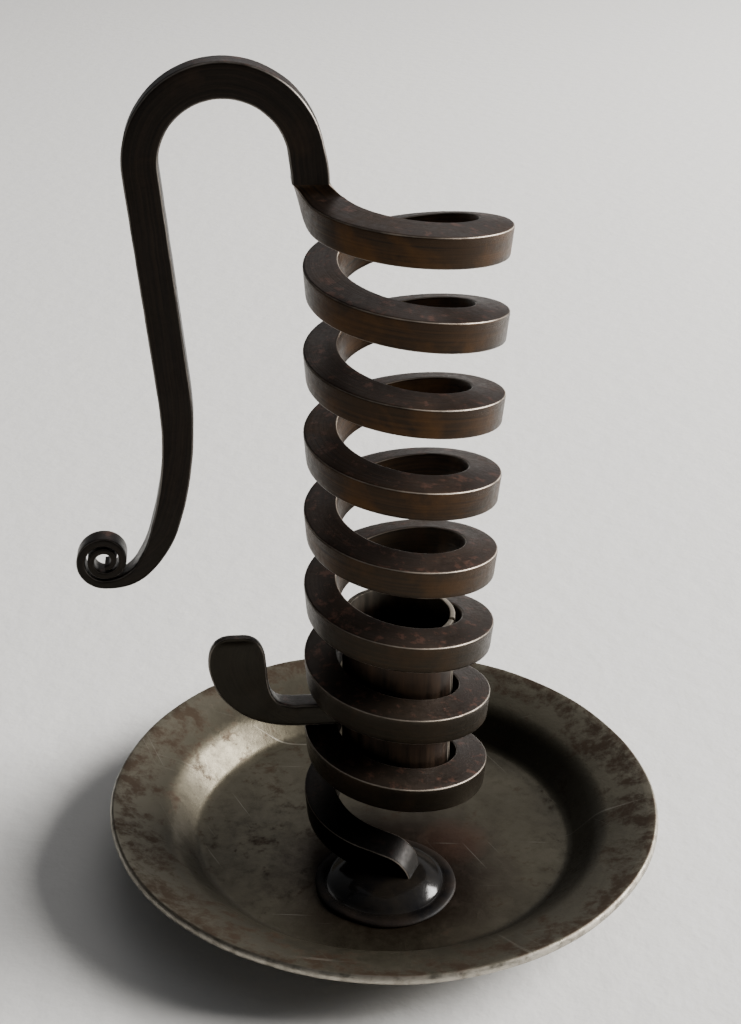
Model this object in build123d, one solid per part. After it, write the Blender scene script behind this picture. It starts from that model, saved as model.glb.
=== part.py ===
from build123d import *
import os
from math import atan, cos, degrees, hypot, pi, radians, sin, tan

# A spiral candle holder of forged iron. A square bar is wound on edge into a tall open coil that stands in a
# drip pan. At the top the bar turns upright and is welded to a hooked handle that ends in a small scroll.
# A candle cup slides in the coil: its thumb lever reaches out between the turns and rides on them like a nut
# on a screw, so turning the lever lifts the candle.
#
# Frame: origin at the centre of the pan's underside, +Z up. The camera side is -Y and the handle is at -X.
# Angles about the coil's axis are in degrees, counter-clockwise from +X seen from above. Climbing the coil,
# the angle falls: the coil is left-handed.

# Drip pan (radii from the pan's centre, heights of the sheet's middle above the floor's middle)
pan_sheet = 2.0
pan_floor_radius = 44.0
pan_wall_run = 6.7
pan_wall_rise = 7.2
pan_rim_run = 12.2
pan_rim_rise = 4.4
pan_floor_bend = 5.0
pan_rim_bend = 9.0

# Coil bar: its section has a swollen inner side and leans outwards, as a bar does when it is bent on edge
coil_pitch = 17.9
coil_turns = 7.644
coil_offset = 2.45
bar_width = 7.2
bar_height = 6.45
bar_swell = 1.0
bar_lean = 5.5
bar_bevel = 0.7

# Foot: the last turn runs straight off the coil and bends down into a boss on the pan's floor
foot_angle = 252.0
foot_rise = 6.83
foot_run = 4.7
foot_bend = 4.5
foot_width = 6.6
foot_height = 4.8

# Run-out: the top turn flattens a little, then bends up into the handle
runout_sweep = 175.0
runout_droop = 2.7
runout_ease = 1.25
rise_bend = 6.0
rise_swing = 2.3

# Hooked handle: a chain of arcs and straights from the weld to the scroll's eye, in the upright plane
# through the coil's axis where the bar ends. Turns are in degrees, positive towards the left of the way.
handle_depth = 6.6
handle_bevel = 0.5
root_width = 7.4
root_arc = 20.0
root_length = 3.2
arch_radius = 16.0
arch_width = 7.1
leg_length = 45.0
leg_width = 6.9
leg_sway = 75.0
sway_width = 5.6
toe_radius = 28.0
toe_width = 3.7
scroll_radius = 10.5
scroll_width = 2.0
scroll_end_width = 1.1
scroll_depth = 4.8
scroll_half_turns = [5.0, 3.9, 2.9, 2.0]

# Boss on the pan's floor and the rivet that draws the coil's foot down
boss_angle = 265.0
boss_swing = 2.0
boss_flange_radius = 15.8
boss_flange = 0.9
boss_edge = 0.4
boss_dome_radius = 12.2
boss_dome_rise = 3.2
rivet_radius = 1.5
rivet_head_radius = 3.0
rivet_reach = 2.2

# Candle cup: rolled sheet with an open seam and a turned-in lip that carries a loose floor
cup_bore_radius = 11.2
cup_sheet = 1.2
cup_clearance = 0.77
cup_height = 42.0
cup_top = 61.2
cup_lip = 2.0
seam_angle = 348.0
seam_gap = 1.2
floor_thickness = 1.2
floor_clearance = 0.1
floor_groove = 0.2
floor_seat = 0.15

# Thumb lever: a bar from the cup's wall out between the turns, flattened and turned up into a paddle
lever_angle = 188.0
lever_width = 7.0
lever_height = 5.0
lever_clearance = 0.35
lever_overhang = 5.0
arm_share = 0.35
lever_bevel = 0.5
tenon_width = 4.0
tenon_height = 3.0
paddle_run = 10.0
paddle_top = 58.0
paddle_width = 12.6
paddle_thickness = 2.4
# Sections from the arm to the paddle's tip: out along the run, up the rise, slope of a quarter turn,
# width from the paddle's to the arm's, depth from the arm's to the paddle's, and roll of the coil's lead
paddle_shares = [
    (-0.18, 0.005, 0.07, 1.0, 0.0, 1.0),
    (0.24, 0.07, 0.37, 0.58, 0.13, 0.5),
    (0.6, 0.2, 0.62, 0.2, 0.47, 0.0),
    (0.86, 0.39, 0.82, 0.05, 0.82, 0.0),
    (0.98, 0.66, 0.94, 0.0, 1.0, 0.0),
    (1.0, 0.86, 1.0, -0.03, 0.79, 0.0),
    (1.0, 1.0, 1.0, -0.09, 0.25, 0.0),
]

overrun = 5.0

# Where sections are placed along the bends at the foot and the handle, and along the run-out
bend_shares = [0, 0.2, 0.4, 0.6, 0.8, 1]
runout_shares = [0, 0.15, 0.3, 0.45, 0.6, 0.75, 0.88]

# Sizes that follow from those above
lean = radians(bar_lean)
cup_radius = cup_bore_radius + cup_sheet
coil_bore_radius = cup_radius + cup_clearance
bar_radius = coil_bore_radius + bar_width / 2 * cos(lean) + (bar_height + bar_swell) / 2 * sin(lean)
coil_outer_radius = bar_radius + bar_width / 2 * cos(lean) + bar_height / 2 * sin(lean)
lead_angle = degrees(atan(coil_pitch / (2 * pi * bar_radius)))
pan_wall_top_radius = pan_floor_radius + pan_wall_run
pan_rim_radius = pan_wall_top_radius + pan_rim_run
foot_start_height = pan_sheet + foot_rise
foot_drop = foot_run * tan(radians(lead_angle))
coil_height = coil_pitch * coil_turns
coil_end_angle = foot_angle - 360 * coil_turns
coil_end_height = foot_start_height + coil_height
boss_top_of_flange = pan_sheet + boss_flange
cup_bottom = cup_top - cup_height
lever_reach = coil_outer_radius + lever_overhang
paddle_radius = lever_reach + paddle_run
to_coil = Pos(coil_offset, 0, 0)


def around(angle):
    """The direction from the coil's axis at this angle."""
    return Vector(cos(radians(angle)), sin(radians(angle)), 0)


def climbing(angle, slope):
    """The way the bar runs, climbing the coil, at this angle and slope."""
    turn, rise = radians(angle), radians(slope)
    return Vector(sin(turn) * cos(rise), -cos(turn) * cos(rise), sin(rise))


def bar_plane(angle, slope, radius, height):
    """The plane of the bar's section: x points away from the axis and y to the bar's upper side."""
    centre = around(angle) * radius + Vector(0, 0, height)
    return Plane(origin=centre, x_dir=around(angle), z_dir=climbing(angle, slope))


def bevelled(corners, bevel):
    """The closed outline of these corners, each cut back by the bevel along both its sides."""
    points = []
    for i, corner in enumerate(corners):
        for other in (corners[i - 1], corners[(i + 1) % len(corners)]):
            x, y = other[0] - corner[0], other[1] - corner[1]
            step = bevel / hypot(x, y)
            points.append((corner[0] + step * x, corner[1] + step * y))
    return points


def bar_corners(width, height, swell, lean_angle):
    """Corners of the bar's section, taller on its inner side by the swell and leaning outwards."""
    tilt = radians(lean_angle)
    outer, inner = height / 2, (height + swell) / 2
    square = [(width / 2, outer), (-width / 2, inner), (-width / 2, -inner), (width / 2, -outer)]
    return [(x * cos(tilt) + y * sin(tilt), y * cos(tilt) - x * sin(tilt)) for x, y in square]


def section(plane, corners, bevel):
    """A flat face of these corners on the plane."""
    points = [plane.from_local_coords(point) for point in bevelled(corners, bevel)]
    return Face(Wire.make_polygon(points, close=True))


def blend(first, last, share):
    return first + (last - first) * share


# Path of the bar past each end of the regular coil
def foot_section(share):
    """Section of the foot's bend, from the end of its straight run (share 0) to upright (share 1)."""
    slope = blend(lead_angle, 90, share)
    ahead = foot_run + foot_bend * (sin(radians(slope)) - sin(radians(lead_angle)))
    down = foot_drop + foot_bend * (cos(radians(lead_angle)) - cos(radians(slope)))
    centre = around(foot_angle) * bar_radius - climbing(foot_angle, 0) * ahead
    centre += Vector(0, 0, foot_start_height - down)
    plane = Plane(origin=centre, x_dir=around(foot_angle), z_dir=climbing(foot_angle, slope))
    corners = bar_corners(blend(bar_width, foot_width, share), blend(bar_height, foot_height, share),
                          bar_swell * (1 - share), bar_lean * (1 - share))
    return section(plane, corners, bar_bevel)


def runout_height(swept):
    """Height of the bar's middle this many degrees past the regular coil, or before its end if negative."""
    droop = runout_droop * (max(swept, 0) / runout_sweep) ** runout_ease
    return coil_end_height + coil_pitch * swept / 360 - droop


def runout_slope_at(share):
    """Slope of the bar in the run-out, in degrees."""
    flattening = runout_droop * runout_ease * share ** (runout_ease - 1) / radians(runout_sweep)
    return degrees(atan((coil_pitch / radians(360) - flattening) / bar_radius))


runout_slope = runout_slope_at(1)
rise_along = rise_bend * (1 - sin(radians(runout_slope)))
rise_start_angle = coil_end_angle - runout_sweep
handle_angle = rise_start_angle - degrees(rise_along / bar_radius)
handle_root_radius = bar_radius + rise_swing
handle_root_height = runout_height(runout_sweep) + rise_bend * cos(radians(runout_slope))


def runout_section(share):
    """Section of the flattened top turn, from the coil (share 0) to the foot of the rise (share 1)."""
    swept = runout_sweep * share
    plane = bar_plane(coil_end_angle - swept, runout_slope_at(share), bar_radius, runout_height(swept))
    return section(plane, bar_corners(bar_width, bar_height, bar_swell, bar_lean), bar_bevel)


def rise_section(share):
    """Section of the bend that turns the bar upright, up to the handle's weld (share 1)."""
    slope = blend(runout_slope, 90, share)
    along = rise_bend * (sin(radians(slope)) - sin(radians(runout_slope)))
    up = rise_bend * (cos(radians(runout_slope)) - cos(radians(slope)))
    plane = bar_plane(rise_start_angle - degrees(along / bar_radius), slope,
                      bar_radius + rise_swing * share ** 2, runout_height(runout_sweep) + up)
    corners = bar_corners(blend(bar_width, root_width, share), blend(bar_height, handle_depth, share),
                          bar_swell * (1 - share), bar_lean * (1 - share))
    return section(plane, corners, blend(bar_bevel, handle_bevel, share))


# Where the foot stands in the boss
foot_reach = foot_run + foot_bend * (1 - sin(radians(lead_angle)))
foot_stand = around(foot_angle) * bar_radius - climbing(foot_angle, 0) * foot_reach
foot_end_height = foot_start_height - foot_drop - foot_bend * cos(radians(lead_angle))
boss_centre = around(boss_angle) * (bar_radius + boss_swing)


def make_foot():
    first = foot_section(0)
    run = extrude(first, amount=foot_run / cos(radians(lead_angle)), dir=climbing(foot_angle, lead_angle))
    bend = loft([foot_section(share) for share in bend_shares])
    stub = extrude(foot_section(1), amount=foot_end_height - boss_top_of_flange, dir=(0, 0, -1))
    return run + bend + stub


def make_runout():
    sections = [runout_section(share) for share in runout_shares]
    return loft(sections + [rise_section(share) for share in bend_shares])


def make_bar():
    """The coil bar in one piece: foot, regular turns and run-out."""
    path = Helix(coil_pitch, coil_height, bar_radius, lefthand=True)
    path = Pos(0, 0, foot_start_height) * (Rot(0, 0, foot_angle) * path)
    start = section(bar_plane(foot_angle, lead_angle, bar_radius, foot_start_height),
                    bar_corners(bar_width, bar_height, bar_swell, bar_lean), bar_bevel)
    turns = sweep(start, path=path, is_frenet=True)
    return turns + make_runout() + make_foot()


def make_coil(bar):
    """The bar, drilled in its foot for the rivet."""
    drill = Pos(foot_stand.X, foot_stand.Y, boss_top_of_flange) * Cylinder(
        rivet_radius, rivet_reach, align=(Align.CENTER, Align.CENTER, Align.MIN))
    return bar - drill


def make_boss(bar):
    """Flange and dome in one, with a pocket that fits the coil's foot and a hole for the rivet."""
    dome_top = boss_top_of_flange + boss_dome_rise
    dome_sphere = (boss_dome_radius ** 2 + boss_dome_rise ** 2) / (2 * boss_dome_rise)
    outline = [
        Line((0, pan_sheet), (boss_flange_radius, pan_sheet)),
        Line((boss_flange_radius, pan_sheet), (boss_flange_radius, boss_top_of_flange - boss_edge)),
        Line((boss_flange_radius, boss_top_of_flange - boss_edge),
             (boss_flange_radius - boss_edge, boss_top_of_flange)),
        Line((boss_flange_radius - boss_edge, boss_top_of_flange), (boss_dome_radius, boss_top_of_flange)),
        RadiusArc((boss_dome_radius, boss_top_of_flange), (0, dome_top), -dome_sphere),
        Line((0, dome_top), (0, pan_sheet)),
    ]
    profile = Plane.XZ * make_face(outline)
    body = Pos(boss_centre.X, boss_centre.Y, 0) * revolve(profile, Axis.Z)
    hole = Pos(foot_stand.X, foot_stand.Y, pan_sheet) * Cylinder(
        rivet_radius, boss_flange, align=(Align.CENTER, Align.CENTER, Align.MIN))
    return body - bar - hole


def make_rivet():
    """Countersunk rivet, flush with the pan's underside."""
    head = rivet_head_radius - rivet_radius
    outline = Polyline(
        (0, 0),
        (rivet_head_radius, 0),
        (rivet_radius, head),
        (rivet_radius, boss_top_of_flange + rivet_reach),
        (0, boss_top_of_flange + rivet_reach),
        close=True,
    )
    return Pos(foot_stand.X, foot_stand.Y, 0) * revolve(Plane.XZ * make_face(outline), Axis.Z)


def make_pan(rivet):
    """Drip pan: one sheet with a flat floor, a sloping wall and a wide rim, pierced for the rivet."""
    middle = pan_sheet / 2
    wall_top = middle + pan_wall_rise
    spine = FilletPolyline(
        (0, middle),
        (pan_floor_radius, middle),
        (pan_wall_top_radius, wall_top),
        (pan_rim_radius, wall_top + pan_rim_rise),
        radius=[pan_floor_bend, pan_rim_bend],
    )
    profile = Plane.XZ * trace(spine, pan_sheet)
    return revolve(profile, Axis.Z) - rivet


def handle_steps():
    """The handle's chain: turn in degrees (0 for a straight), radius or length, and width at its end."""
    steps = [
        (-10, root_arc, root_width),
        (0, root_length, arch_width),
        (-176, arch_radius, arch_width),
        (0, leg_length, leg_width),
        (24, leg_sway, sway_width),
        (20, toe_radius, toe_width),
        (52, scroll_radius, scroll_width),
    ]
    count = len(scroll_half_turns)
    for i, radius in enumerate(scroll_half_turns):
        steps.append((180, radius, blend(scroll_width, scroll_end_width, (i + 1) / count)))
    return steps


def make_handle():
    """Hooked handle: the chain's left and right sides are arcs, so the bar tapers smoothly to the scroll."""
    place, heading, width = Vector(handle_root_radius, handle_root_height), 90.0, root_width
    left_sides, right_sides = [], []
    for turn, size, end_width in handle_steps():
        lefts, rights = [], []
        for share in (0, 0.5, 1):
            if turn == 0:
                way = heading
                spot = place + Vector(cos(radians(way)), sin(radians(way))) * (size * share)
            else:
                way = heading + turn * share
                side = 90 if turn > 0 else -90
                middle = place + Vector(cos(radians(heading + side)), sin(radians(heading + side))) * size
                spot = middle - Vector(cos(radians(way + side)), sin(radians(way + side))) * size
            across = Vector(-sin(radians(way)), cos(radians(way))) * (blend(width, end_width, share) / 2)
            lefts.append(spot + across)
            rights.append(spot - across)
        if turn == 0:
            left_sides.append(Line(lefts[0], lefts[2]))
            right_sides.append(Line(rights[0], rights[2]))
        else:
            left_sides.append(ThreePointArc(*lefts))
            right_sides.append(ThreePointArc(*rights))
        place, heading, width = spot, way, end_width
    ends = [Line(left_sides[0] @ 0, right_sides[0] @ 0), Line(left_sides[-1] @ 1, right_sides[-1] @ 1)]
    plane = Plane(origin=(0, 0, 0), x_dir=around(handle_angle), z_dir=climbing(handle_angle, 0))
    profile = plane * make_face(left_sides + right_sides + ends)
    taper_start = handle_root_radius + 2 * arch_radius
    taper_end = taper_start + scroll_radius
    far = taper_end + 2 * scroll_radius
    half, thin = handle_depth / 2, scroll_depth / 2
    plan = Polyline((0, half), (taper_start, half), (taper_end, thin), (far, thin),
                    (far, -thin), (taper_end, -thin), (taper_start, -half), (0, -half), close=True)
    level = Plane(origin=(0, 0, 0), x_dir=around(handle_angle), z_dir=(0, 0, 1))
    slab = extrude(level * make_face(plan), amount=handle_root_height + 2 * arch_radius)
    return extrude(profile, amount=handle_depth, both=True) & slab


def make_cup(tenon):
    """Rolled tube with a turned-in lip, a groove for its floor, an open seam and a slot for the tenon."""
    stand = (Align.CENTER, Align.CENTER, Align.MIN)
    tube = Cylinder(cup_radius, cup_height, align=stand)
    bore = Pos(0, 0, cup_sheet) * Cylinder(cup_bore_radius, cup_height, align=stand)
    groove_height = floor_thickness + 2 * floor_seat
    groove = Pos(0, 0, cup_sheet) * Cylinder(cup_bore_radius + floor_groove, groove_height, align=stand)
    mouth = Cylinder(cup_bore_radius - cup_lip, cup_height)
    seam = Rot(0, 0, seam_angle) * Box(cup_radius + overrun, seam_gap, 2 * cup_height + overrun,
                                       align=(Align.MIN, Align.CENTER, Align.CENTER))
    return Pos(0, 0, cup_bottom) * (tube - bore - groove - mouth - seam) - tenon


def make_floor():
    """Loose round floor in the cup's groove."""
    disc = Cylinder(cup_bore_radius - floor_clearance, floor_thickness,
                    align=(Align.CENTER, Align.CENTER, Align.MIN))
    return Pos(0, 0, cup_bottom + cup_sheet + floor_seat) * disc


# The lever rides a named clearance above the bar that it rests on
rest_turns = (foot_angle - lever_angle) / 360 + 1
inner_top = max(y for x, y in bar_corners(bar_width, bar_height, bar_swell, bar_lean))
bar_height_at_rest = foot_start_height + coil_pitch * rest_turns
lever_height_at_rest = bar_height_at_rest + inner_top + lever_clearance + lever_height / 2


def lever_plane(out, height, slope, aside):
    """Plane of a lever section: x climbs the coil and y points to the lever's upper side."""
    centre = around(lever_angle) * out + climbing(lever_angle, 0) * aside + Vector(0, 0, height)
    way = around(lever_angle) * cos(radians(slope)) + Vector(0, 0, sin(radians(slope)))
    return Plane(origin=centre, x_dir=climbing(lever_angle, 0), z_dir=way * -1)


def lever_section(out, up, slope, width, height, roll):
    """A bevelled rectangle, rolled so that the arm lies along the bar, and flush with the arm on one side."""
    tilt = radians(roll)
    x, y = width / 2, height / 2
    square = [(x, y), (-x, y), (-x, -y), (x, -y)]
    corners = [(x * cos(tilt) - y * sin(tilt), x * sin(tilt) + y * cos(tilt)) for x, y in square]
    plane = lever_plane(out, lever_height_at_rest + up, slope, (width - lever_width) / 2)
    return section(plane, corners, lever_bevel)


def make_tenon():
    """The lever's tenon, flush with the cup's inner face."""
    block = Box(cup_radius + overrun, tenon_width, tenon_height,
                align=(Align.MIN, Align.CENTER, Align.CENTER))
    ring = Cylinder(cup_radius, cup_height) - Cylinder(cup_bore_radius, cup_height)
    return Pos(0, 0, lever_height_at_rest) * (Rot(0, 0, lever_angle) * block & ring)


def make_lever(tenon):
    """Forged in one: tenon, arm saddled on the cup's wall, and a paddle spread in the arm's upright plane."""
    rise = paddle_top - lever_height_at_rest
    arm_end = lever_reach - paddle_run * arm_share
    sections = [lever_section(arm_end, 0, 0, lever_width, lever_height, lead_angle)]
    for out, up, slope, width, depth, roll in paddle_shares:
        sections.append(lever_section(lever_reach + paddle_run * out, rise * up, 90 * slope,
                                      blend(paddle_thickness, lever_width, width),
                                      blend(lever_height, paddle_width, depth), lead_angle * roll))
    inward = around(lever_angle) * -1
    arm = extrude(sections[0], amount=arm_end - cup_bore_radius + cup_sheet, dir=inward)
    barrel = Cylinder(cup_radius, cup_height, align=(Align.CENTER, Align.CENTER, Align.MIN))
    return arm + loft(sections) - (Pos(0, 0, cup_bottom) * barrel - tenon)


def least_gap():
    """Least distance between the bar and itself a turn below, over points on the section's corners."""
    corners = bar_corners(bar_width, bar_height, bar_swell, bar_lean)
    here = [(bar_radius + x, y) for x, y in corners]
    gaps = []
    for share in runout_shares + [1]:
        swept = runout_sweep * share
        for degree in range(-90, 91, 5):
            turn = radians(degree)
            rise = runout_height(swept) - runout_height(swept - 360 + degree)
            for r, z in here:
                for below_r, below_z in here:
                    flat = hypot(below_r * cos(turn) - r, below_r * sin(turn))
                    gaps.append(hypot(flat, rise + z - below_z))
    return min(gaps)


bar = make_bar()
rivet = make_rivet()
tenon = make_tenon()
nodes = {
    "spiral_coil": make_coil(bar),
    "hook_handle": make_handle(),
    "foot_boss": make_boss(bar),
    "foot_rivet": rivet,
    "candle_cup": make_cup(tenon),
    "cup_floor": make_floor(),
    "thumb_lever": make_lever(tenon),
}
pieces = {"drip_pan": make_pan(to_coil * rivet)}
for name, shape in nodes.items():
    pieces[name] = to_coil * shape

os.makedirs("parts", exist_ok=True)
for name, shape in pieces.items():
    export_step(shape, f"parts/{name}.step")

print("least gap between the coil's turns:", round(least_gap(), 2), "mm")
print("handle weld at", round(handle_angle % 360, 1), "degrees, height", round(handle_root_height, 2))
print("lever arm's middle at height", round(lever_height_at_rest, 2))
print("foot stands at", round(coil_offset + foot_stand.X, 2), round(foot_stand.Y, 2))
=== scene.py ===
import bmesh
import bpy
from math import atan, cos, degrees, pi, radians, sin, tan
from mathutils import Matrix, Vector, noise


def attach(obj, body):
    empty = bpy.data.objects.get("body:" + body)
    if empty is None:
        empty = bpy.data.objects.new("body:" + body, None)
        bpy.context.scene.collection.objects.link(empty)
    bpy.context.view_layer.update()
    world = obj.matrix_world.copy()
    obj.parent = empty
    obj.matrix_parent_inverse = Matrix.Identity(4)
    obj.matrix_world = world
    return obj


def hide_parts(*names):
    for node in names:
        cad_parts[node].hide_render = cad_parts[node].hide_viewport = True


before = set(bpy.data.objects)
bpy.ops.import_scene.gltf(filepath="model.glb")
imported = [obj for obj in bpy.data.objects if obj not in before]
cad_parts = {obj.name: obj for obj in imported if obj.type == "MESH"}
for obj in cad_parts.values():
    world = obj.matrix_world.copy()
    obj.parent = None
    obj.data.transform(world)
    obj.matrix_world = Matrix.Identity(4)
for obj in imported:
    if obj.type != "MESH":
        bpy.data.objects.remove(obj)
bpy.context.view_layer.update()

# Sizes in millimetres, as in the part's source
MM = 0.001
PAN_SHEET = 2.0
PAN_FLOOR_R, PAN_WALL_R, PAN_EDGE_R = 44.0, 50.7, 62.6
PAN_WALL_RISE, PAN_RIM_RISE = 7.2, 11.5
PAN_FLOOR_BEND, PAN_RIM_BEND = 5.0, 9.0
PAN_STEP, PAN_RUB = 1.6, 0.2
COIL_X = 2.45
BAR_RADIUS = 17.11
PITCH = 17.9
TURNS = 7.644
BAR_W, BAR_H, BAR_SWELL, BAR_LEAN = 7.2, 6.45, 1.0, 5.5
FOOT_ANGLE, FOOT_Z, FOOT_RUN, FOOT_BEND = 252.0, 8.83, 4.7, 4.5
FOOT_W, FOOT_H = 6.6, 4.8
BOSS_ANGLE, BOSS_R, BOSS_TOP = 265.0, 19.11, 2.9
DOME_R, DOME_START_R, DOME_FOOT, DOME_RISE, DOME_POWER = 12.5, 11.6, 2.95, 3.1, 3.6
FLANGE_IN, FLANGE_OUT = 13.0, 15.2
RUNOUT, DROOP, DROOP_EASE = 175.0, 2.7, 1.25
RISE_BEND, RISE_SWING = 6.0, 2.3
ROOT_W, DEPTH, SCROLL_DEPTH = 7.4, 6.6, 4.8
THIN_FROM, THIN_OVER = 32.0, 10.5
CUP_R, CUP_BORE, CUP_LOW, CUP_HIGH = 12.4, 11.2, 19.2, 61.2
CUP_SHEET, CUP_LIP, CUP_ROUND = 1.2, 2.0, 0.3
DISC_GAP, DISC_SHEET, DISC_PLAY = 0.15, 1.2, 0.3
SEAM_ANGLE, SEAM_GAP = 348.0, 1.2
LEVER_ANGLE, LEVER_Z, LEVER_W = 188.0, 36.82, 7.0
PADDLE_DISH, DISH_FROM, DISH_OVER = 0.55, 7.0, 4.0
AXIS_HOLE = 0.05
SHARP_EDGE = radians(38)
LEAD = degrees(atan(PITCH / (2 * pi * BAR_RADIUS)))


def blend(a, b, t):
    return a + (b - a) * t


def ease(t):
    t = min(max(t, 0.0), 1.0)
    return t * t * (3 - 2 * t)


def wobble(x, y=0.0, z=0.0):
    """Smooth noise from -1 to 1, the same on every run."""
    return noise.noise(Vector((x, y, z)))


def around(angle):
    return Vector((cos(radians(angle)), sin(radians(angle)), 0.0))


def climbing(angle, slope):
    a, s = radians(angle), radians(slope)
    return Vector((sin(a) * cos(s), -cos(a) * cos(s), sin(s)))


def oblong(width, depth):
    x, y = width / 2, depth / 2
    return [(x, y), (-x, y), (-x, -y), (x, -y)]


def rounded(corners, radius, per_corner=5, per_side=5):
    """Closed outline with rounded corners: its points and how near each is to a corner."""
    points, wear = [], []
    count = len(corners)
    for i in range(count):
        here = Vector(corners[i])
        back = Vector(corners[i - 1]) - here
        ahead = Vector(corners[(i + 1) % count]) - here
        start = here + back.normalized() * min(radius, back.length * 0.45)
        end = here + ahead.normalized() * min(radius, ahead.length * 0.45)
        for k in range(per_corner):
            t = k / (per_corner - 1)
            points.append(start * (1 - t) ** 2 + here * 2 * t * (1 - t) + end * t ** 2)
            wear.append(1 - 1.2 * abs(t - 0.5))
        following = Vector(corners[(i + 1) % count])
        back_next = here - following
        stop = following + back_next.normalized() * min(radius, back_next.length * 0.45)
        for k in range(1, per_side):
            points.append(end.lerp(stop, k / per_side))
            wear.append(0.0)
    return points, wear


def skin(name, rings, wear, flow, capped=True):
    """A mesh through closed rings of points in millimetres, with wear and flow kept on the points."""
    count = len(rings[0])
    faces = []
    for i in range(len(rings) - 1):
        for j in range(count):
            k = (j + 1) % count
            faces.append((i * count + j, i * count + k, (i + 1) * count + k, (i + 1) * count + j))
    last = (len(rings) - 1) * count
    if capped:
        faces.append(tuple(range(count - 1, -1, -1)))
        faces.append(tuple(range(last, last + count)))
    mesh = bpy.data.meshes.new(name)
    mesh.from_pydata([tuple(p * MM) for ring in rings for p in ring], [], faces)
    wear_layer = mesh.attributes.new("wear", "FLOAT", "POINT")
    wear_layer.data.foreach_set("value", [w for ring in wear for w in ring])
    flow_layer = mesh.attributes.new("flow", "FLOAT_VECTOR", "POINT")
    flow_layer.data.foreach_set("vector", [c for ring in flow for f in ring for c in f])
    shape = bmesh.new()
    shape.from_mesh(mesh)
    bmesh.ops.recalc_face_normals(shape, faces=shape.faces)
    shape.to_mesh(mesh)
    shape.free()
    for polygon in mesh.polygons:
        polygon.use_smooth = True
    mesh.set_sharp_from_angle(angle=SHARP_EDGE)
    piece = bpy.data.objects.new(name, mesh)
    bpy.context.scene.collection.objects.link(piece)
    return piece


def perimeter(points):
    """Distances along the outline to its points."""
    total, lengths = 0.0, []
    for i, point in enumerate(points):
        lengths.append(total)
        total += (points[(i + 1) % len(points)] - point).length
    return lengths


def keep(piece, body, material, node):
    piece.data.materials.append(material)
    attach(piece, body)
    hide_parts(node)
    return piece


# Materials

def new_material(name):
    material = bpy.data.materials.new(name)
    material.use_nodes = True
    tree = material.node_tree
    return material, tree, tree.nodes["Principled BSDF"]


class Graph:
    """Short ways to add the nodes of one material."""

    def __init__(self, tree):
        self.tree = tree

    def node(self, kind, **values):
        made = self.tree.nodes.new(kind)
        for key, value in values.items():
            setattr(made, key, value)
        return made

    def link(self, a, b):
        self.tree.links.new(a, b)

    def attribute(self, name):
        return self.node("ShaderNodeAttribute", attribute_name=name)

    def stretched(self, source, scale):
        mapping = self.node("ShaderNodeMapping")
        mapping.inputs["Scale"].default_value = scale
        self.link(source, mapping.inputs["Vector"])
        return mapping.outputs["Vector"]

    def object_space(self):
        return self.node("ShaderNodeTexCoord").outputs["Object"]

    def noise(self, vector, scale, detail=4.0, roughness=0.55, distortion=0.0):
        made = self.node("ShaderNodeTexNoise")
        made.inputs["Scale"].default_value = scale
        made.inputs["Detail"].default_value = detail
        made.inputs["Roughness"].default_value = roughness
        made.inputs["Distortion"].default_value = distortion
        self.link(vector, made.inputs["Vector"])
        return made.outputs["Fac"]

    def span(self, value, low, high, to_low=0.0, to_high=1.0):
        made = self.node("ShaderNodeMapRange", clamp=True)
        made.inputs["From Min"].default_value = low
        made.inputs["From Max"].default_value = high
        made.inputs["To Min"].default_value = to_low
        made.inputs["To Max"].default_value = to_high
        self.link(value, made.inputs["Value"])
        return made.outputs["Result"]

    def maths(self, operation, a, b):
        made = self.node("ShaderNodeMath", operation=operation)
        for socket, value in ((made.inputs[0], a), (made.inputs[1], b)):
            if isinstance(value, (int, float)):
                socket.default_value = value
            else:
                self.link(value, socket)
        return made.outputs["Value"]

    def mix(self, factor, a, b):
        made = self.node("ShaderNodeMix", data_type="RGBA")
        if isinstance(factor, (int, float)):
            made.inputs[0].default_value = factor
        else:
            self.link(factor, made.inputs[0])
        for socket, value in ((made.inputs[6], a), (made.inputs[7], b)):
            if isinstance(value, tuple):
                socket.default_value = (*value, 1.0)
            else:
                self.link(value, socket)
        return made.outputs[2]

    def height(self, vector):
        split = self.node("ShaderNodeSeparateXYZ")
        self.link(vector, split.inputs[0])
        return split.outputs["Z"]

    def distance(self, vector, point):
        made = self.node("ShaderNodeVectorMath", operation="DISTANCE")
        self.link(vector, made.inputs[0])
        made.inputs[1].default_value = point
        return made.outputs["Value"]

    def upward(self):
        """How far the face looks up, from -1 to 1."""
        return self.height(self.node("ShaderNodeNewGeometry").outputs["Normal"])

    def bump(self, height, strength, distance, normal=None):
        made = self.node("ShaderNodeBump")
        made.inputs["Strength"].default_value = strength
        made.inputs["Distance"].default_value = distance
        self.link(height, made.inputs["Height"])
        if normal is not None:
            self.link(normal, made.inputs["Normal"])
        return made.outputs["Normal"]


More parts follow.
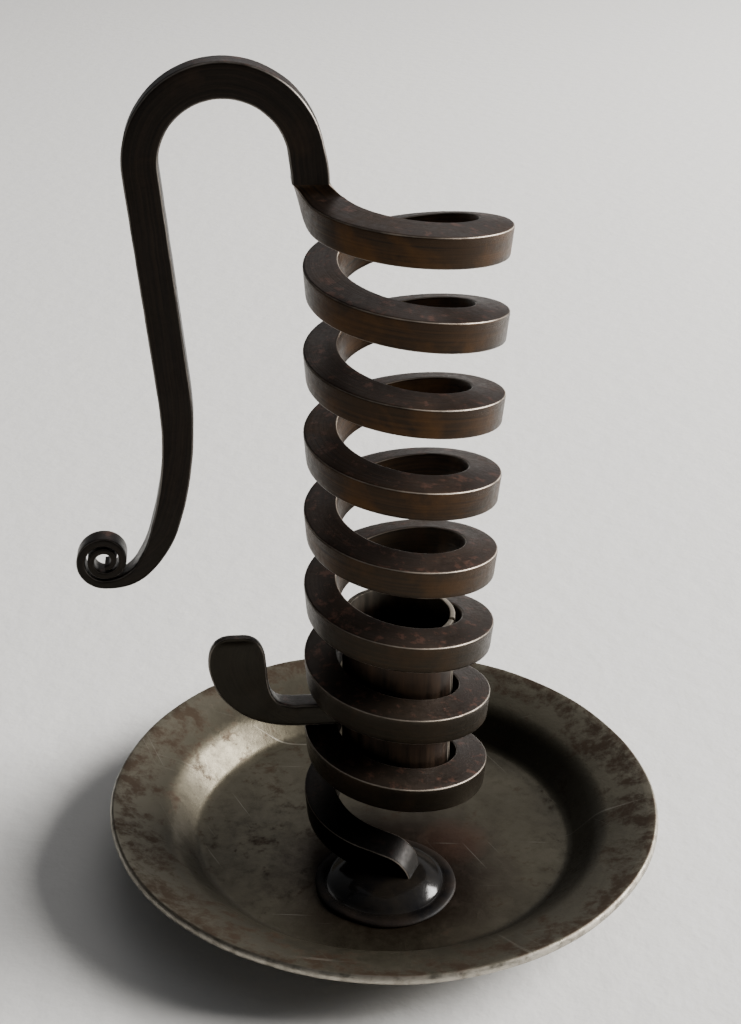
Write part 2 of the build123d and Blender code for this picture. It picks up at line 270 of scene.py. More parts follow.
def forged_iron(name, dark, brown, worn, brown_share, roughness):
    """Blackened iron: bronze-brown patches, drawn lines along the bar, tops painted lighter grey as a
    painted sheen, rubbed edges that are partly a painted highlight.

    It is greyer low down and black at the foot.
    """
    material, tree, surface = new_material(name)
    g = Graph(tree)
    place = g.object_space()
    flow = g.attribute("flow").outputs["Vector"]
    wear = g.attribute("wear").outputs["Fac"]
    patches = g.noise(place, 70.0, 5.0, 0.6, 0.4)
    clouds = g.noise(place, 26.0, 3.0, 0.5)
    lines = g.noise(g.stretched(flow, (0.03, 1.6, 1.0)), 1.0, 5.0, 0.65)
    grain = g.noise(place, 900.0, 3.0, 0.6)
    specks = g.noise(place, 380.0, 4.0, 0.7)
    colour = g.mix(g.span(patches, 0.62 - brown_share, 0.8 - brown_share), dark, brown)
    colour = g.mix(g.span(lines, 0.35, 0.7, 0.0, 0.4), colour, tuple(c * 1.7 for c in brown))
    grey = sum(brown) / 3
    low_down = g.span(g.height(place), 0.05, 0.095, 0.65, 0.0)
    colour = g.mix(low_down, colour, (grey * 1.04, grey * 0.93, grey * 0.7))
    upward = g.span(g.upward(), 0.55, 0.95)
    # Upward faces are painted lighter grey in cloudy patches: a painted sheen where the tops catch the
    # light.
    painted_top_sheen = g.maths("MULTIPLY", upward, g.span(clouds, 0.3, 0.65, 0.3, 0.85))
    colour = g.mix(painted_top_sheen, colour, (0.036, 0.026, 0.022))
    rust = g.maths("MULTIPLY", upward, g.span(specks, 0.55, 0.66, 0.0, 0.7))
    colour = g.mix(rust, colour, (0.11, 0.055, 0.04))
    foot = g.span(g.height(place), 0.013, 0.021, 0.9, 0.0)
    colour = g.mix(foot, colour, (0.004, 0.004, 0.004))
    # Rubbed edges, partly a painted highlight: the rounded corners are painted lighter in patches.
    rubbed_and_highlight = g.maths("MULTIPLY", g.span(wear, 0.7, 1.0), g.span(patches, 0.34, 0.56, 0.15, 1.0))
    colour = g.mix(rubbed_and_highlight, colour, worn)
    g.link(colour, surface.inputs["Base Color"])
    rough = g.span(g.maths("ADD", patches, grain), 0.7, 1.35, roughness - 0.09, roughness + 0.13)
    g.link(rough, surface.inputs["Roughness"])
    surface.inputs["Metallic"].default_value = 0.7
    surface.inputs["Specular IOR Level"].default_value = 0.22
    normal = g.bump(grain, 0.12, 0.0002)
    normal = g.bump(specks, 0.1, 0.0003, normal)
    normal = g.bump(lines, 0.18, 0.0003, normal)
    normal = g.bump(clouds, 0.25, 0.0006, normal)
    g.link(normal, surface.inputs["Normal"])
    return material


def pan_steel():
    """Tarnished sheet: grey-olive steel painted lighter towards the rim as painted light, rust-brown
    mottling by the rim, stains, one widened into painted shade around the boss, scratches, a rubbed edge
    that is partly a painted highlight.
    """
    material, tree, surface = new_material("pan_tarnished_steel")
    g = Graph(tree)
    place = g.object_space()
    wear = g.attribute("wear").outputs["Fac"]
    radius = g.node("ShaderNodeVectorMath", operation="LENGTH")
    g.link(g.stretched(place, (1.0, 1.0, 0.0)), radius.inputs[0])
    radius = radius.outputs["Value"]
    broad = g.noise(place, 34.0, 5.0, 0.62, 0.5)
    fine = g.noise(place, 150.0, 6.0, 0.7, 0.3)
    small = g.noise(place, 330.0, 5.0, 0.7)
    speck = g.noise(place, 720.0, 3.0, 0.6)
    colour = g.mix(g.span(broad, 0.34, 0.68), (0.04, 0.034, 0.022), (0.072, 0.063, 0.043))
    colour = g.mix(g.span(small, 0.5, 0.72, 0.0, 0.5), colour, (0.03, 0.025, 0.016))
    # The sheet is painted lighter towards the rim: painted light on the rim, and the darker floor is
    # painted shade.
    near_rim = g.span(radius, 0.049, 0.0605, 0.0, 1.0)
    colour = g.mix(g.maths("MULTIPLY", near_rim, 0.7), colour, (0.135, 0.121, 0.09))
    mottle = g.maths("ADD", g.maths("MULTIPLY", fine, 0.75), g.maths("MULTIPLY", small, 0.35))
    rust = g.span(g.maths("ADD", mottle, g.maths("MULTIPLY", near_rim, 0.115)), 0.6, 0.72)
    colour = g.mix(g.maths("MULTIPLY", rust, 0.82), colour, (0.034, 0.018, 0.009))
    # A dark stain around the boss, widened into painted shade on the floor under the coil.
    stain_and_shade = g.maths("ADD", g.distance(place, (0.003, -0.016, 0.002)), g.maths("MULTIPLY", fine, 0.016))
    colour = g.mix(g.span(stain_and_shade, 0.025, 0.039, 0.9, 0.0), colour, (0.016, 0.009, 0.005))
    drip = g.maths("ADD", g.distance(place, (0.0165, -0.0035, 0.002)), g.maths("MULTIPLY", small, 0.006))
    colour = g.mix(g.span(drip, 0.007, 0.0125, 0.5, 0.0), colour, (0.06, 0.026, 0.015))
    scratch_a = g.noise(g.stretched(place, (30.0, 900.0, 30.0)), 1.0, 2.0, 0.5)
    turned = g.node("ShaderNodeVectorRotate", rotation_type="Z_AXIS")
    turned.inputs["Angle"].default_value = 1.05
    g.link(place, turned.inputs["Vector"])
    scratch_b = g.noise(g.stretched(turned.outputs["Vector"], (24.0, 1100.0, 24.0)), 1.0, 2.0, 0.5)
    scratches = g.maths("MAXIMUM", g.span(scratch_a, 0.69, 0.76), g.span(scratch_b, 0.69, 0.76))
    colour = g.mix(g.maths("MULTIPLY", scratches, 0.35), colour, (0.3, 0.28, 0.24))
    # A lighter band along the sheet's end: rubbed edge, partly a painted highlight.
    rubbed_and_highlight = g.maths("MULTIPLY", wear, g.span(small, 0.36, 0.55, 0.35, 1.0))
    colour = g.mix(rubbed_and_highlight, colour, (0.44, 0.41, 0.35))
    g.link(colour, surface.inputs["Base Color"])
    rough = g.span(g.maths("ADD", small, g.maths("MULTIPLY", rust, 0.5)), 0.3, 1.0, 0.3, 0.6)
    g.link(rough, surface.inputs["Roughness"])
    surface.inputs["Metallic"].default_value = 0.8
    normal = g.bump(speck, 0.1, 0.0002)
    normal = g.bump(fine, 0.16, 0.0005, normal)
    normal = g.bump(broad, 0.2, 0.0012, normal)
    g.link(normal, surface.inputs["Normal"])
    return material


def boss_black():
    """Glossy black dome with a dull flange."""
    material, tree, surface = new_material("boss_gloss_black")
    g = Graph(tree)
    place = g.object_space()
    cloud = g.noise(place, 120.0, 4.0, 0.6)
    fine = g.noise(place, 700.0, 3.0, 0.6)
    wear = g.attribute("wear").outputs["Fac"]
    colour = g.mix(g.span(cloud, 0.4, 0.7), (0.003, 0.003, 0.0035), (0.01, 0.008, 0.006))
    colour = g.mix(g.maths("MULTIPLY", wear, g.span(cloud, 0.35, 0.65)), colour, (0.012, 0.008, 0.006))
    g.link(colour, surface.inputs["Base Color"])
    g.link(g.span(g.maths("ADD", cloud, wear), 0.35, 1.4, 0.13, 0.5), surface.inputs["Roughness"])
    surface.inputs["Metallic"].default_value = 0.15
    g.link(g.span(wear, 0.0, 0.4, 0.5, 0.0), surface.inputs["Coat Weight"])
    surface.inputs["Specular IOR Level"].default_value = 0.1
    surface.inputs["Coat Roughness"].default_value = 0.12
    normal = g.bump(cloud, 0.25, 0.0008)
    normal = g.bump(fine, 0.06, 0.0002, normal)
    g.link(normal, surface.inputs["Normal"])
    return material


def cup_sheet():
    """Browned sheet with streaks up and down and a rubbed seam and rim, partly a painted highlight."""
    material, tree, surface = new_material("cup_browned_sheet")
    g = Graph(tree)
    place = g.object_space()
    wear = g.attribute("wear").outputs["Fac"]
    streaks = g.noise(g.stretched(place, (1.0, 1.0, 0.09)), 420.0, 4.0, 0.6)
    cloud = g.noise(place, 90.0, 4.0, 0.6)
    grain = g.noise(place, 1000.0, 2.0, 0.5)
    colour = g.mix(g.span(streaks, 0.35, 0.68), (0.01, 0.0065, 0.004), (0.045, 0.026, 0.015))
    colour = g.mix(g.span(cloud, 0.48, 0.72, 0.0, 0.6), colour, (0.014, 0.01, 0.008))
    # The seam's edges and the top rim are painted light: rubbed wear, partly a painted highlight on the
    # seam's edge.
    rubbed_and_highlight = g.maths("MULTIPLY", wear, g.span(cloud, 0.3, 0.6, 0.3, 1.0))
    colour = g.mix(rubbed_and_highlight, colour, (0.4, 0.36, 0.3))
    g.link(colour, surface.inputs["Base Color"])
    g.link(g.span(streaks, 0.3, 0.7, 0.32, 0.55), surface.inputs["Roughness"])
    surface.inputs["Metallic"].default_value = 0.8
    normal = g.bump(streaks, 0.12, 0.0002)
    normal = g.bump(grain, 0.06, 0.0001, normal)
    g.link(normal, surface.inputs["Normal"])
    return material


def rivet_steel():
    """Dull steel with light clouds."""
    material, tree, surface = new_material("rivet_dull_steel")
    g = Graph(tree)
    place = g.object_space()
    cloud = g.noise(place, 300.0, 4.0, 0.6)
    colour = g.mix(g.span(cloud, 0.35, 0.7), (0.22, 0.2, 0.17), (0.36, 0.33, 0.28))
    g.link(colour, surface.inputs["Base Color"])
    g.link(g.span(cloud, 0.3, 0.7, 0.3, 0.5), surface.inputs["Roughness"])
    surface.inputs["Metallic"].default_value = 0.9
    g.link(g.bump(cloud, 0.2, 0.0003), surface.inputs["Normal"])
    return material


IRON = forged_iron("coil_iron", dark=(0.011, 0.008, 0.0055), brown=(0.046, 0.022, 0.0075),
                   worn=(0.34, 0.29, 0.24), brown_share=0.14, roughness=0.41)
# The handle's iron is a darker copy of the coil's iron: painted shade on the handle.
HANDLE_IRON = forged_iron("handle_iron", dark=(0.006, 0.005, 0.004), brown=(0.017, 0.011, 0.007),
                          worn=(0.2, 0.18, 0.16), brown_share=0.02, roughness=0.42)
LEVER_IRON = forged_iron("lever_iron", dark=(0.009, 0.008, 0.006), brown=(0.028, 0.02, 0.012),
                         worn=(0.26, 0.23, 0.2), brown_share=0.06, roughness=0.38)
PAN = pan_steel()
BOSS = boss_black()
CUP = cup_sheet()
RIVET = rivet_steel()


# Coil bar: foot, regular turns, run-out and the bend into the handle

def bar_corners(width, height, swell, lean):
    """Corners of the bar: taller on its inner side by the swell, and leaning."""
    tilt = radians(lean)
    outer, inner = height / 2, (height + swell) / 2
    square = [(width / 2, outer), (-width / 2, inner), (-width / 2, -inner), (width / 2, -outer)]
    return [(x * cos(tilt) + y * sin(tilt), y * cos(tilt) - x * sin(tilt)) for x, y in square]


def station(angle, slope, radius, height, width, depth, swell, lean):
    """One section of the bar: its centre, the ways out and up, and its size."""
    out = around(angle)
    centre = out * radius + Vector((COIL_X, 0, height))
    return centre, out, climbing(angle, slope).cross(out), width, depth, swell, lean


def foot_station(ahead, down, slope, share):
    """A section of the foot, which leaves the coil along a straight line."""
    out = around(FOOT_ANGLE)
    centre = out * BAR_RADIUS - climbing(FOOT_ANGLE, 0) * ahead + Vector((COIL_X, 0, FOOT_Z - down))
    up = climbing(FOOT_ANGLE, slope).cross(out)
    width, depth = blend(BAR_W, FOOT_W, share), blend(BAR_H, FOOT_H, share)
    return centre, out, up, width, depth, BAR_SWELL * (1 - share), BAR_LEAN * (1 - share)


FOOT_DROP = FOOT_RUN * tan(radians(LEAD))


def foot_bend_station(share):
    """A section of the bend from the coil's slope down to the boss."""
    slope = blend(LEAD, 90, share)
    ahead = FOOT_RUN + FOOT_BEND * (sin(radians(slope)) - sin(radians(LEAD)))
    down = FOOT_DROP + FOOT_BEND * (cos(radians(LEAD)) - cos(radians(slope)))
    return foot_station(ahead, down, slope, share)


COIL_END_ANGLE = FOOT_ANGLE - 360 * TURNS
COIL_END_Z = FOOT_Z + PITCH * TURNS
RUN_RATE = PITCH / radians(360) - DROOP_EASE * DROOP / radians(RUNOUT)
RUN_SLOPE = degrees(atan(RUN_RATE / BAR_RADIUS))
RISE_ANGLE = COIL_END_ANGLE - RUNOUT
RISE_Z = COIL_END_Z + PITCH * RUNOUT / 360 - DROOP
HANDLE_ANGLE = RISE_ANGLE - degrees(RISE_BEND * (1 - sin(radians(RUN_SLOPE))) / BAR_RADIUS)
ROOT_R = BAR_RADIUS + RISE_SWING
ROOT_Z = RISE_Z + RISE_BEND * cos(radians(RUN_SLOPE))


def runout_station(share):
    """A section of the top turn, which flattens out."""
    rate = PITCH / radians(360) - DROOP_EASE * DROOP * share ** (DROOP_EASE - 1) / radians(RUNOUT)
    height = COIL_END_Z + PITCH * RUNOUT * share / 360 - DROOP * share ** DROOP_EASE
    return station(COIL_END_ANGLE - RUNOUT * share, degrees(atan(rate / BAR_RADIUS)), BAR_RADIUS, height,
                   BAR_W, BAR_H, BAR_SWELL, BAR_LEAN)


def rise_station(share):
    """A section of the bend that stands the bar upright."""
    slope = blend(RUN_SLOPE, 90, share)
    along = RISE_BEND * (sin(radians(slope)) - sin(radians(RUN_SLOPE)))
    up = RISE_BEND * (cos(radians(RUN_SLOPE)) - cos(radians(slope)))
    angle = RISE_ANGLE - degrees(along / BAR_RADIUS)
    radius = BAR_RADIUS + RISE_SWING * share ** 2
    width, depth = blend(BAR_W, ROOT_W, share), blend(BAR_H, DEPTH, share)
    swell, lean = BAR_SWELL * (1 - share), BAR_LEAN * (1 - share)
    return station(angle, slope, radius, RISE_Z + up, width, depth, swell, lean)


def coil_stations():
    reach = FOOT_RUN + FOOT_BEND * (1 - sin(radians(LEAD)))
    stations = [foot_station(reach, FOOT_Z - BOSS_TOP, 90, 1)]
    stations += [foot_bend_station(1 - i / 18) for i in range(19)]
    stations += [foot_station(FOOT_RUN * share, FOOT_DROP * share, LEAD, 0) for share in (0.75, 0.5, 0.25)]
    steps = int(TURNS * 80)
    for i in range(steps):
        share = i / steps
        angle, height = FOOT_ANGLE - 360 * TURNS * share, FOOT_Z + PITCH * TURNS * share
        stations.append(station(angle, LEAD, BAR_RADIUS, height, BAR_W, BAR_H, BAR_SWELL, BAR_LEAN))
    stations += [runout_station(i / 44) for i in range(44)]
    stations += [rise_station(i / 18) for i in range(19)]
    return stations


def make_coil():
    rings, wear, flow = [], [], []
    along, before = 0.0, None
    for centre, out, up, width, depth, swell, lean in coil_stations():
        if before is not None:
            along += (centre - before).length
        before = centre
        wide = width * (1 + 0.006 * wobble(along * 0.045, 3.0))
        tall = depth * (1 + 0.012 * wobble(along * 0.06, 11.0))
        corners = bar_corners(wide, tall, swell, lean + 0.5 * wobble(along * 0.02, 7.0))
        points, worn = rounded(corners, 0.52 + 0.12 * wobble(along * 0.09, 5.0))
        lengths = perimeter(points)
        rings.append([centre + out * p.x + up * p.y for p in points])
        wear.append(worn)
        flow.append([(along, d, 0.0) for d in lengths])
    return keep(skin("coil_bar", rings, wear, flow), "base", IRON, "spiral_coil")


# Hooked handle: a chain of arcs and straights in the upright plane where the bar ends

HANDLE_STEPS = [
    # turn in degrees, radius or straight length, width at the end
    (-10, 20.0, 7.4),
    (0, 3.2, 7.1),
    (-176, 16.0, 7.1),
    (0, 45.0, 6.9),
    (24, 75.0, 5.6),
    (20, 28.0, 3.7),
    (52, 10.5, 2.0),
    (180, 5.0, 1.775),
    (180, 3.9, 1.55),
    (180, 2.9, 1.325),
    (180, 2.0, 1.1),
]


def heading_way(heading):
    return Vector((cos(radians(heading)), sin(radians(heading))))


def handle_line():
    """Points down the handle: place (r, z), heading and the bar's width."""
    place, heading, width = Vector((ROOT_R, ROOT_Z)), 90.0, ROOT_W
    line = [(place, heading, width)]
    for turn, size, end_width in HANDLE_STEPS:
        length = size if turn == 0 else abs(radians(turn)) * size
        steps = max(6, int(length / (0.9 if size > 8 else 0.45)))
        for i in range(1, steps + 1):
            share = i / steps
            if turn == 0:
                way = heading
                spot = place + heading_way(way) * (size * share)
            else:
                way = heading + turn * share
                side = 90 if turn > 0 else -90
                middle = place + heading_way(heading + side) * size
                spot = middle - heading_way(way + side) * size
            line.append((spot, way, blend(width, end_width, share)))
        place, heading, width = spot, way, end_width
    return line


def make_handle():
    out = around(HANDLE_ANGLE)
    across = climbing(HANDLE_ANGLE, 0)
    rings, wear, flow = [], [], []
    along, before = 0.0, None
    for spot, way, width in handle_line():
        if before is not None:
            along += (spot - before).length
        before = spot
        wide = width * (1 + 0.02 * wobble(along * 0.08, 21.0) + 0.018 * wobble(along * 0.26, 27.0))
        thin = min(max((spot.x - ROOT_R - THIN_FROM) / THIN_OVER, 0.0), 1.0)
        deep = blend(DEPTH, SCROLL_DEPTH, thin) * (1 + 0.02 * wobble(along * 0.06, 31.0))
        points, worn = rounded(oblong(wide, deep), min(0.75, wide * 0.3))
        left = Vector((-sin(radians(way)), cos(radians(way))))
        lengths = perimeter(points)
        ring = []
        for p in points:
            flat = spot + left * p.x
            ring.append(out * flat.x + across * p.y + Vector((COIL_X, 0, flat.y)))
        rings.append(ring)
        wear.append(worn)
        flow.append([(along, d, 0.0) for d in lengths])
    return keep(skin("hook_bar", rings, wear, flow), "base", HANDLE_IRON, "hook_handle")


# Turned forms: rings of a profile about an upright axis

def filleted(points, radii, step):
    """Points along a polyline whose inner corners are rounded."""
    spine = [Vector(points[0])]
    for i in range(1, len(points) - 1):
        here, back, ahead = Vector(points[i]), Vector(points[i - 1]), Vector(points[i + 1])
        a, b = (back - here).normalized(), (ahead - here).normalized()
        half = a.angle(b) / 2
        reach = radii[i - 1] / (sin(half) / cos(half))
        middle = here + (a + b).normalized() * (radii[i - 1] / sin(half))
        start, end = here + a * reach - middle, here + b * reach - middle
        for k in range(13):
            share = k / 12
            mixed = start.lerp(end, share).normalized() * radii[i - 1]
            spine.append(middle + mixed)
    spine.append(Vector(points[-1]))
    even = [spine[0]]
    for point in spine[1:]:
        length = (point - even[-1]).length
        parts = max(1, int(length / step))
        start = even[-1]
        for k in range(1, parts + 1):
            even.append(start.lerp(point, k / parts))
    return even


def lathe(name, profile, wear_of, centre, steps, ripple=None):
    """Turns a profile of (r, z) points about an upright axis through the centre."""
    rings, wear, flow = [], [], []
    for point in profile:
        ring = []
        for k in range(steps):
            angle = 360.0 * k / steps
            r, z = (point.x, point.y) if ripple is None else ripple(point.x, point.y, angle)
            ring.append(around(angle) * r + Vector((centre[0], centre[1], z)))
        rings.append(ring)
        wear.append([wear_of(point)] * steps)
        flow.append([(k * 2 * pi * point.x / steps, point.x, 0.0) for k in range(steps)])
    return skin(name, rings, wear, flow, capped=False)


def make_pan():
    half = PAN_SHEET / 2
    corners = [(0.0, half), (PAN_FLOOR_R, half), (PAN_WALL_R, half + PAN_WALL_RISE),
               (PAN_EDGE_R, half + PAN_RIM_RISE)]
    spine = filleted(corners, [PAN_FLOOR_BEND, PAN_RIM_BEND], PAN_STEP)
    upper, lower = [], []
    for i, point in enumerate(spine):
        way = spine[min(i + 1, len(spine) - 1)] - spine[max(i - 1, 0)]
        normal = Vector((-way.y, way.x)).normalized() * half
        upper.append(point + normal)
        lower.append(point - normal)
    way = (spine[-1] - spine[-2]).normalized()
    edge = []
    for k in range(1, 8):
        turn = radians(90 - 180 * k / 8)
        normal = Vector((-way.y, way.x))
        edge.append(spine[-1] + (normal * sin(turn) + way * cos(turn) * 0.6) * half)
    upper[0].x = lower[0].x = AXIS_HOLE
    profile = upper + edge + lower[::-1]

    def ripple(r, z, angle):
        """Hand-beaten sheet: the rim waves a little and the floor is not quite flat."""
        a = around(angle)
        rim = ease((r - PAN_FLOOR_R) / 18)
        lift = 0.45 * rim * wobble(a.x * 1.3, a.y * 1.3, 4.0)
        lift += 0.16 * rim * wobble(a.x * 4, a.y * 4, 9.0)
        dent = 0.12 * wobble(a.x * r * 0.09, a.y * r * 0.09, 2.0) * ease(r / 8)
        spread = 0.25 * rim * wobble(a.x * 2.2, a.y * 2.2, 14.0)
        return r + spread, max(z + lift + (dent if z > half else 0.0), 0.0)

    def worn(point):
        """The rubbed edge, partly a painted highlight, starts just inside the end of the sheet."""
        return ease(point.x - PAN_EDGE_R + PAN_RUB)

    piece = lathe("pan_sheet", profile, worn, (0.0, 0.0), 288, ripple)
    return keep(piece, "base", PAN, "drip_pan")


def make_boss():
    centre = around(BOSS_ANGLE) * BOSS_R + Vector((COIL_X, 0, 0))
    outline = [(AXIS_HOLE, PAN_SHEET), (FLANGE_OUT, PAN_SHEET), (15.65, 2.08), (15.8, 2.3), (15.7, 2.5),
               (15.4, 2.72), (14.6, 2.86), (13.6, 2.92), (12.9, 3.0), (12.4, 3.2), (12.0, 3.52)]
    profile = [Vector(corner) for corner in outline]
    for k in range(1, 17):
        r = DOME_START_R * (1 - k / 16)
        height = DOME_FOOT + DOME_RISE * (1 - (r / DOME_R) ** DOME_POWER)
        profile.append(Vector((max(r, AXIS_HOLE), height)))

    def ripple(r, z, angle):
        """The flange is not quite round or flat."""
        a = around(angle)
        edge = ease((r - 11) / 4)
        wave = 1 + 0.03 * edge * wobble(a.x * 1.5, a.y * 1.5, 33.0)
        return r * wave, z + 0.1 * edge * wobble(a.x * 2, a.y * 2, 41.0) * (z > 2.05)

    def worn(point):
        return ease((point.x - FLANGE_IN) / (FLANGE_OUT - FLANGE_IN))

    piece = lathe("boss_dome", profile, worn, (centre.x, centre.y), 120, ripple)
    return keep(piece, "base", BOSS, "foot_boss")


def make_cup():
    lip_r, lip_top = CUP_BORE - CUP_LIP, CUP_LOW + CUP_SHEET
    outline = [(CUP_R, CUP_LOW), (CUP_R, CUP_HIGH), (CUP_BORE, CUP_HIGH), (CUP_BORE, lip_top),
               (lip_r, lip_top), (lip_r, CUP_LOW)]
    points, _ = rounded([Vector(c) for c in outline], CUP_ROUND, 3, 8)
    rings, wear, flow = [], [], []
    half_gap = degrees(SEAM_GAP / 2 / CUP_R)
    steps = 150
    for k in range(steps + 1):
        angle = SEAM_ANGLE + half_gap + (360 - 2 * half_gap) * k / steps
        near = min(k, steps - k)
        out = around(angle)
        ring, worn = [], []
        for p in points:
            lift = 0.1 * wobble(out.x * 2, out.y * 2, p.y * 0.05) * (p.x > CUP_BORE - 0.5)
            ring.append(out * (p.x + lift) + Vector((COIL_X, 0, p.y)))
            # Lighter at the seam's edges and at the top rim: rubbed wear, partly a painted highlight.
            worn.append(max(1.0 - near / 1.5, 0.0, ease((p.y - CUP_HIGH + 0.5) / 0.4)))
        rings.append(ring)
        wear.append(worn)
        flow.append([(p.y, angle, 0.0) for p in points])
    return keep(skin("cup_roll", rings, wear, flow), "lifter", CUP, "candle_cup")


def make_floor():
    low, edge = CUP_LOW + CUP_SHEET + DISC_GAP, CUP_BORE - DISC_PLAY
    high = low + DISC_SHEET
    outline = [(AXIS_HOLE, low), (edge - 0.2, low), (edge, low + 0.2), (edge, high - 0.3),
               (edge - 0.1, high - 0.08), (edge - 0.35, high), (edge * 0.6, high - 0.12),
               (AXIS_HOLE, high - 0.15)]
    profile = [Vector(corner) for corner in outline]
    piece = lathe("cup_disc", profile, lambda p: 0.0, (COIL_X, 0.0), 72)
    return keep(piece, "carriage", CUP, "cup_floor")


# Thumb lever: arm, then a spoon-like paddle that stands in the arm's upright plane

def curve_through(values, t):
    """Smooth curve through evenly counted values, at t from 0 to their count less one."""
    i = min(int(t), len(values) - 2)
    f = t - i
    p0, p1, p2 = values[max(i - 1, 0)], values[i], values[i + 1]
    p3 = values[min(i + 2, len(values) - 1)]
    square = 2 * p0 - 5 * p1 + 4 * p2 - p3
    cube = 3 * p1 - p0 - 3 * p2 + p3
    return 0.5 * (2 * p1 + (p2 - p0) * f + square * f ** 2 + cube * f ** 3)


LEVER_STATIONS = [
    # out, up, slope, width along the coil, depth across the way, roll
    (11.8, 0.0, 0, 7.0, 5.0, LEAD),
    (16.5, 0.0, 0, 7.0, 5.0, LEAD),
    (21.0, 0.05, 1, 7.0, 5.0, LEAD),
    (24.2, 0.15, 6, 6.9, 5.0, LEAD),
    (28.4, 1.5, 33, 5.0, 6.0, LEAD * 0.5),
    (32.0, 4.2, 56, 3.3, 8.6, 0),
    (34.6, 8.3, 74, 2.6, 11.2, 0),
    (35.8, 13.4, 84, 2.4, 12.6, 0),
    (36.0, 17.1, 89, 2.3, 12.1, 0),
    (36.0, 19.6, 90, 2.2, 9.9, 0),
    (36.0, 20.8, 90, 2.0, 7.0, 0),
    (36.0, 21.3, 90, 1.6, 4.4, 0),
]


def make_lever():
    out = around(LEVER_ANGLE)
    side = climbing(LEVER_ANGLE, 0)
    rings, wear, flow = [], [], []
    count = len(LEVER_STATIONS)
    steps = 90
    along, before = 0.0, None
    for k in range(steps + 1):
        t = (count - 1) * k / steps
        columns = zip(*LEVER_STATIONS)
        reach, rise, slope, width, depth, roll = (curve_through(column, t) for column in columns)
        way = out * cos(radians(slope)) + Vector((0, 0, sin(radians(slope))))
        up = side.cross(way) * -1
        centre = out * reach + side * ((width - LEVER_W) / 2) + Vector((COIL_X, 0, LEVER_Z + rise))
        if before is not None:
            along += (centre - before).length
        before = centre
        c, s = cos(radians(roll)), sin(radians(roll))
        corners = [(x * c - y * s, x * s + y * c) for x, y in oblong(width, depth)]
        points, worn = rounded(corners, min(0.85, width * 0.4))
        lengths = perimeter(points)
        hollow = PADDLE_DISH * ease((depth - DISH_FROM) / DISH_OVER)
        ring = []
        for p in points:
            sunk = hollow * max(1 - (2 * p.y / depth) ** 2, 0.0) if p.x < 0 else 0.0
            ring.append(centre + side * (p.x + sunk) + up * p.y)
        rings.append(ring)
        wear.append(worn)
        flow.append([(along, d, 0.0) for d in lengths])
    return keep(skin("lever_bar", rings, wear, flow), "lifter", LEVER_IRON, "thumb_lever")


make_coil()
make_handle()
make_pan()
make_boss()
make_cup()
make_floor()
make_lever()
rivet_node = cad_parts["foot_rivet"]
rivet_node.data.materials.clear()
rivet_node.data.materials.append(RIVET)


# Stage: pale floor, soft light from a window on the right, and the camera that was fitted to the photo

def stage_material(name, colour, bump_scale, strength):
    """Dull, slightly uneven paper."""
    material, tree, surface = new_material(name)
    g = Graph(tree)
    place = g.object_space()
    surface.inputs["Base Color"].default_value = (*colour, 1.0)
    surface.inputs["Roughness"].default_value = 0.9
    g.link(g.bump(g.noise(place, bump_scale, 4.0, 0.6), strength, 0.001), surface.inputs["Normal"])
    return material


def plane(name, corners, material):
    mesh = bpy.data.meshes.new(name)
    mesh.from_pydata(corners, [], [(0, 1, 2, 3)])
    mesh.materials.append(material)
    made = bpy.data.objects.new(name, mesh)
    bpy.context.scene.collection.objects.link(made)
    return made


FLOOR_Z, FLOOR_HALF = -0.0002, 6.0
floor_signs = ((-1, -1), (1, -1), (1, 1), (-1, 1))
floor_corners = [(x * FLOOR_HALF, y * FLOOR_HALF, FLOOR_Z) for x, y in floor_signs]
plane("floor", floor_corners, stage_material("floor_pale", (0.74, 0.73, 0.71), 110.0, 0.35))


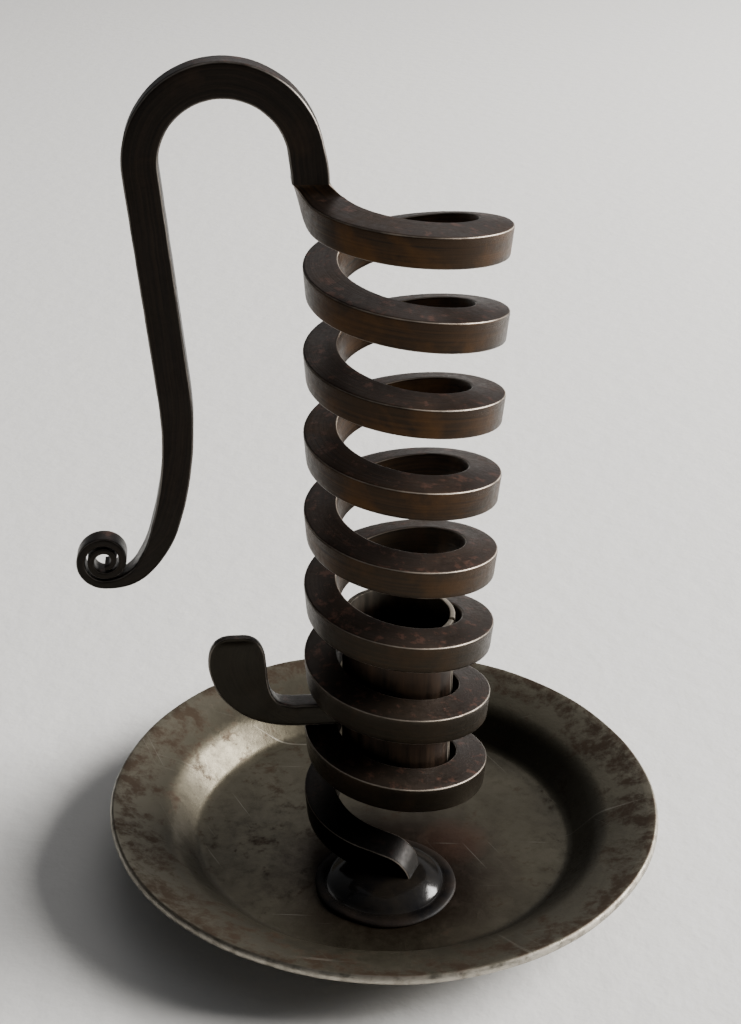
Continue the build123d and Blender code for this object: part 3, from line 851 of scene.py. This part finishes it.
def area_light(name, place, target, size, power, colour):
    data = bpy.data.lights.new(name, "AREA")
    data.shape = "RECTANGLE"
    data.size, data.size_y = size
    data.energy = power
    data.color = colour
    made = bpy.data.objects.new(name, data)
    made.location = place
    made.rotation_euler = (Vector(target) - Vector(place)).to_track_quat("-Z", "Y").to_euler()
    bpy.context.scene.collection.objects.link(made)
    return made


def studio_world():
    """Even soft light that is brighter from the right and the back, as beside a window."""
    world = bpy.data.worlds.new("studio")
    world.use_nodes = True
    g = Graph(world.node_tree)
    background = world.node_tree.nodes["Background"]
    background.inputs["Color"].default_value = (0.9, 0.91, 0.93, 1.0)
    side = g.node("ShaderNodeVectorMath", operation="DOT_PRODUCT")
    g.link(g.node("ShaderNodeTexCoord").outputs["Generated"], side.inputs[0])
    side.inputs[1].default_value = (0.6, 0.74, 0.3)
    g.link(g.span(side.outputs["Value"], -0.35, 0.95, 0.015, 0.3), background.inputs["Strength"])
    return world


area_light("window", (1.9, 0.48, 1.04), (0.0, 0.0, 0.05), (1.65, 0.88), 185.0, (1.0, 0.98, 0.95))
area_light("backdrop", (0.1, 1.7, 1.5), (0.0, 1.0, 0.0), (1.6, 1.6), 6.0, (1.0, 0.98, 0.96))
area_light("fill", (-0.5, -0.75, 0.5), (0.0, 0.0, 0.08), (0.7, 0.7), 0.3, (0.93, 0.96, 1.0))
bpy.context.scene.world = studio_world()

EYE = Vector((2.675, -317.378, 239.19)) * MM
FOCAL_PIXELS, PICTURE_HEIGHT = 1647.23, 1024
PITCH_DOWN, YAW, ROLL = radians(25.848), radians(-1.236), radians(0.874)
ahead = Vector((sin(YAW) * cos(PITCH_DOWN), cos(YAW) * cos(PITCH_DOWN), -sin(PITCH_DOWN)))
right = Vector((cos(YAW), -sin(YAW), 0.0))
upward = right.cross(ahead)
right, upward = right * cos(ROLL) + upward * sin(ROLL), upward * cos(ROLL) - right * sin(ROLL)
lens = bpy.data.cameras.new("camera")
lens.sensor_fit = "VERTICAL"
lens.sensor_height = 24.0
lens.lens = lens.sensor_height * FOCAL_PIXELS / PICTURE_HEIGHT
lens.clip_start = 0.01
camera = bpy.data.objects.new("camera", lens)
turn = Matrix((right, upward, ahead * -1)).transposed()
camera.matrix_world = Matrix.Translation(EYE) @ turn.to_4x4()
bpy.context.scene.collection.objects.link(camera)
bpy.context.scene.camera = camera
